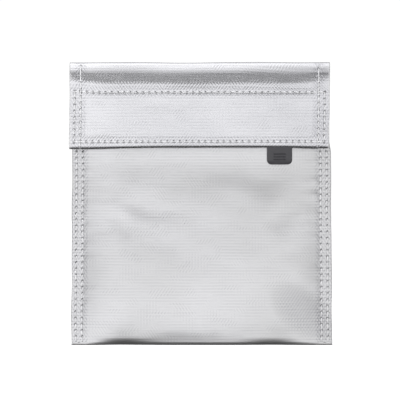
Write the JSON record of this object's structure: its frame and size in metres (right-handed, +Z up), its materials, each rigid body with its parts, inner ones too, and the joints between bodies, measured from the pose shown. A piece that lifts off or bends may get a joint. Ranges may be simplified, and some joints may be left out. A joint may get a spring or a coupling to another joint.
{
  "type": "battery safe bag",
  "caption": "Flat fire-resistant cloth pouch with stitched side margins, fold-over flap, hook-and-loop closure and rubber pull tab.",
  "frame": {"origin": "middle of the bounding box's underside, below the bottom fold", "axes": "+Z up from the bottom fold to the top fold, +X to the viewer's right when facing the flap, front faces -Y"},
  "size_m": [0.202, 0.014, 0.218],
  "materials": {
    "silver_cloth": "satin metallised",
    "lining_cloth": "matt woven glass",
    "hook_tape": "nylon hooks",
    "loop_tape": "brushed nylon pile",
    "thread": "twisted thread",
    "tab_rubber": "matt moulded"
  },
  "bodies": {
    "pouch": {"back_panel": "silver_cloth", "back_lining": "lining_cloth", "left_seam_margin": "silver_cloth", "right_seam_margin": "silver_cloth", "left_outer_seam_stitching": "thread", "left_inner_seam_stitching": "thread", "right_outer_seam_stitching": "thread", "right_inner_seam_stitching": "thread"},
    "front_wall": {"front_panel": "silver_cloth", "front_lining": "lining_cloth", "loop_tape": "loop_tape", "loop_tape_top_stitching": "thread", "loop_tape_bottom_stitching": "thread", "loop_tape_left_stitching": "thread", "loop_tape_right_stitching": "thread", "mouth_hem_stitching": "thread"},
    "flap": {"flap_panel": "silver_cloth", "flap_lining": "lining_cloth", "hook_tape": "hook_tape", "tab_anchor": "tab_rubber", "hook_tape_top_stitching": "thread", "hook_tape_bottom_stitching": "thread", "hook_tape_left_stitching": "thread", "hook_tape_right_stitching": "thread", "flap_left_hem_stitching": "thread", "flap_right_hem_stitching": "thread"},
    "pull_tab": {"pull_tab": "tab_rubber"}
  },
  "joints": [
    {"name": "flap_open", "type": "hinge", "parent": "pouch", "child": "flap", "pos_m": [0, 0.0007, 0.2181], "axis": [-1, 0, 0], "range_deg": [0, 175]},
    {"name": "mouth_open", "type": "hinge", "parent": "pouch", "child": "front_wall", "pos_m": [0, 0.00025, 0.00362], "axis": [1, 0, 0], "range_deg": [0, 10]},
    {"name": "tab_flex", "type": "hinge", "parent": "flap", "child": "pull_tab", "pos_m": [0.0607, -0.00455, 0.15148], "axis": [-1, 0, 0], "range_deg": [0, 90]}
  ],
  "couplings": [
    {"joint": "mouth_open", "follows": "flap_open", "ratio": 0.057143}
  ]
}
